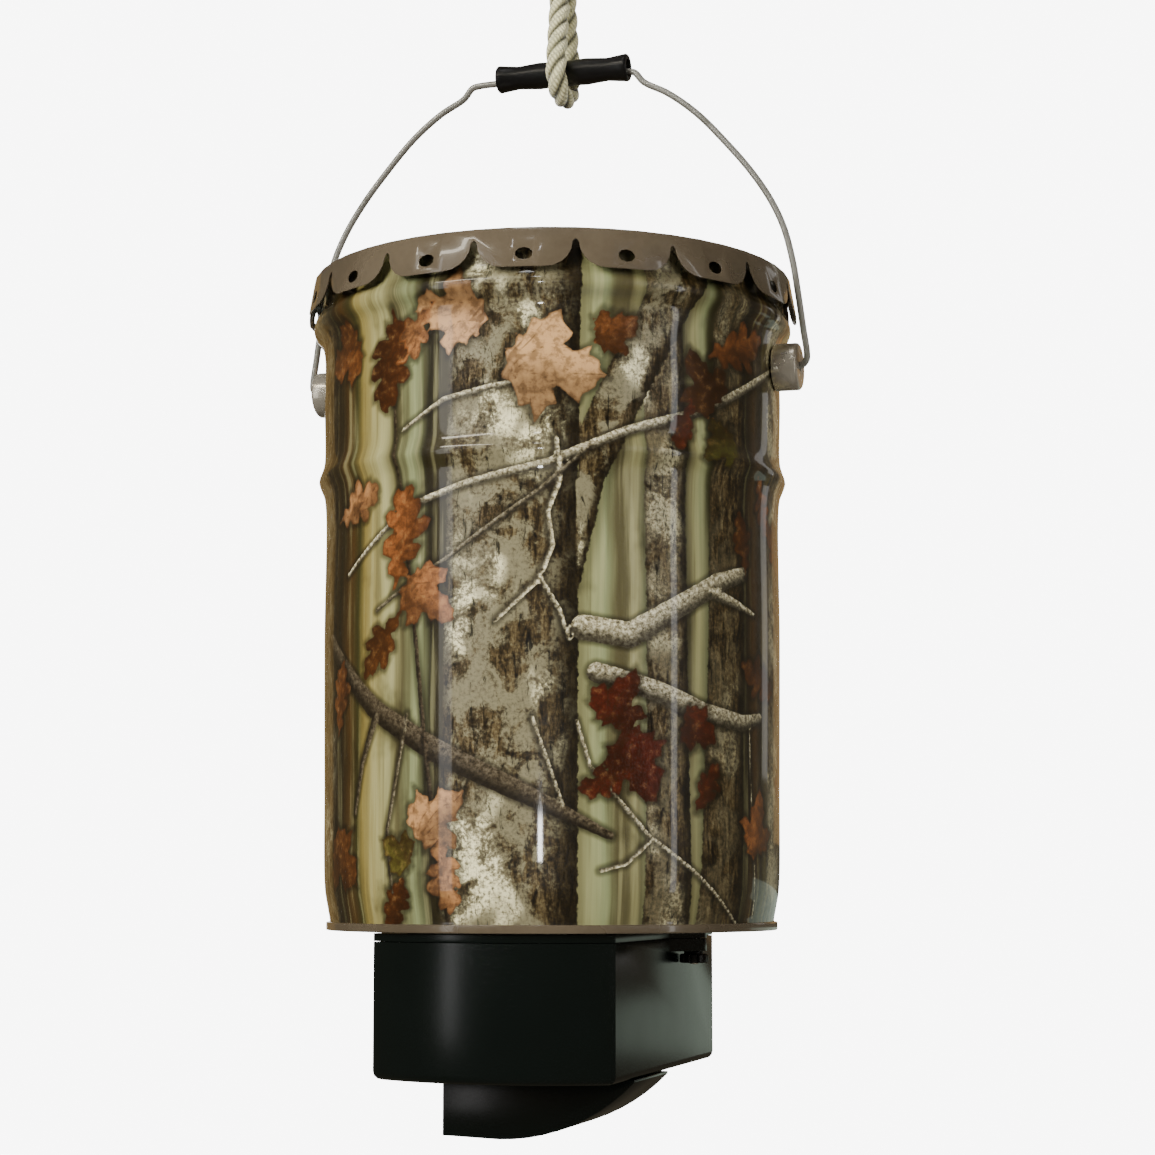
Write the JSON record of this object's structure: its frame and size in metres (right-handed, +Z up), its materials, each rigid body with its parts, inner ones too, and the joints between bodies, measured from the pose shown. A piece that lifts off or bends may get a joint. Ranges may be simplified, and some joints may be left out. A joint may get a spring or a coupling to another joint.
{
  "type": "hanging game feeder",
  "caption": "Steel lug-lid pail hung by its bail from a rope loop, with a battery-run feed dispenser and a directional scoop under its bottom.",
  "frame": {"origin": "middle of the bail grip's axis, above the middle of the pail, where the rope holds it", "axes": "+X towards the right bail ear along the ears' axis, -Y the front, +Z up"},
  "size_m": [0.336, 0.311, 0.8114],
  "materials": {
    "camo_print": "glossy camouflage print under clear coat",
    "taupe_paint": "semi-gloss brown-grey enamel",
    "zinc": "satin zinc plating",
    "grip_plastic": "satin black",
    "housing_plastic": "black with a soft sheen",
    "rope_fibre": "off-white twisted fibre",
    "rubber": "matte black",
    "bronze": "satin",
    "battery_case": "matte dark grey",
    "strap_webbing": "woven dark green",
    "display": "grey-green display window",
    "lead": "insulated wire"
  },
  "bodies": {
    "bail": {"bail_wire": "zinc", "hang_rope": "rope_fibre", "rope_socket": "zinc", "hang_ring": "zinc"},
    "grip": {"bail_grip": "grip_plastic"},
    "pail": {"pail_body": "camo_print", "pail_bottom": "taupe_paint", "bail_ear_right": "zinc", "bail_ear_left": "zinc", "mounting_plate": "housing_plastic", "housing_shell": "housing_plastic", "feed_throat": "housing_plastic", "plate_screw_left": "zinc", "plate_screw_right": "zinc", "mount_stud_left": "zinc", "mount_stud_right": "zinc", "front_bulkhead": "housing_plastic", "motor_bulkhead": "housing_plastic", "shaft_bushing": "bronze", "motor": "zinc", "motor_cradle": "housing_plastic", "discharge_scoop": "housing_plastic", "scoop_screw_1": "zinc", "scoop_screw_2": "zinc", "scoop_screw_3": "zinc", "scoop_screw_4": "zinc", "battery": "battery_case", "battery_terminal_1": "bronze", "battery_terminal_2": "bronze", "battery_strap": "strap_webbing", "timer_module": "housing_plastic", "timer_display": "display", "battery_lead_1": "lead", "battery_lead_2": "lead", "motor_lead": "lead", "door_hinge_pin": "zinc", "door_gasket": "rubber"},
    "lid": {"lug_lid": "taupe_paint", "lid_gasket": "rubber"},
    "gate": {"flow_gate": "zinc"},
    "paddle": {"paddle_wheel": "housing_plastic", "drive_shaft": "zinc", "wheel_nut": "zinc"},
    "door": {"access_door": "housing_plastic"},
    "door_fastener": {"door_screw": "zinc"},
    "nut_left": {"thumb_nut_left": "grip_plastic"},
    "nut_right": {"thumb_nut_right": "grip_plastic"},
    "button_1": {"timer_button_1": "grip_plastic"},
    "button_2": {"timer_button_2": "grip_plastic"},
    "button_3": {"timer_button_3": "grip_plastic"},
    "button_4": {"timer_button_4": "grip_plastic"}
  },
  "joints": [
    {"name": "grip_spin", "type": "hinge", "parent": "bail", "child": "grip", "pos_m": [0.007, 0, 0], "axis": [1, 0, 0], "continuous": true},
    {"name": "pail_swing", "type": "hinge", "parent": "bail", "child": "pail", "pos_m": [0, 0, -0.202], "axis": [1, 0, 0], "range_deg": [-110, 110]},
    {"name": "lid_lift", "type": "slide", "parent": "pail", "child": "lid", "axis": [0, 0, 1], "range_m": [0, 0.02]},
    {"name": "gate_slide", "type": "slide", "parent": "pail", "child": "gate", "axis": [-1, 0, 0], "range_m": [0, 0.032]},
    {"name": "paddle_spin", "type": "hinge", "parent": "pail", "child": "paddle", "pos_m": [0.018, -0.03, -0.613], "axis": [0, 1, 0], "continuous": true},
    {"name": "door_swing", "type": "hinge", "parent": "pail", "child": "door", "pos_m": [0.057, 0.1314, -0.596], "axis": [0, 0, -1], "range_deg": [0, 100]},
    {"name": "door_screw_turn", "type": "hinge", "parent": "door", "child": "door_fastener", "pos_m": [-0.055, 0.13, -0.596], "axis": [0, 1, 0], "continuous": true},
    {"name": "thumb_nut_left_turn", "type": "hinge", "parent": "pail", "child": "nut_left", "pos_m": [-0.084, 0.03, -0.568], "axis": [0, 0, 1], "continuous": true},
    {"name": "thumb_nut_right_turn", "type": "hinge", "parent": "pail", "child": "nut_right", "pos_m": [0.084, 0.03, -0.568], "axis": [0, 0, 1], "continuous": true},
    {"name": "button_1_press", "type": "slide", "parent": "pail", "child": "button_1", "axis": [0, -1, 0], "range_m": [0, 0.0012], "stiffness_N_per_m": 300, "springref_m": -0.001},
    {"name": "button_2_press", "type": "slide", "parent": "pail", "child": "button_2", "axis": [0, -1, 0], "range_m": [0, 0.0012], "stiffness_N_per_m": 300, "springref_m": -0.001},
    {"name": "button_3_press", "type": "slide", "parent": "pail", "child": "button_3", "axis": [0, -1, 0], "range_m": [0, 0.0012], "stiffness_N_per_m": 300, "springref_m": -0.001},
    {"name": "button_4_press", "type": "slide", "parent": "pail", "child": "button_4", "axis": [0, -1, 0], "range_m": [0, 0.0012], "stiffness_N_per_m": 300, "springref_m": -0.001}
  ]
}
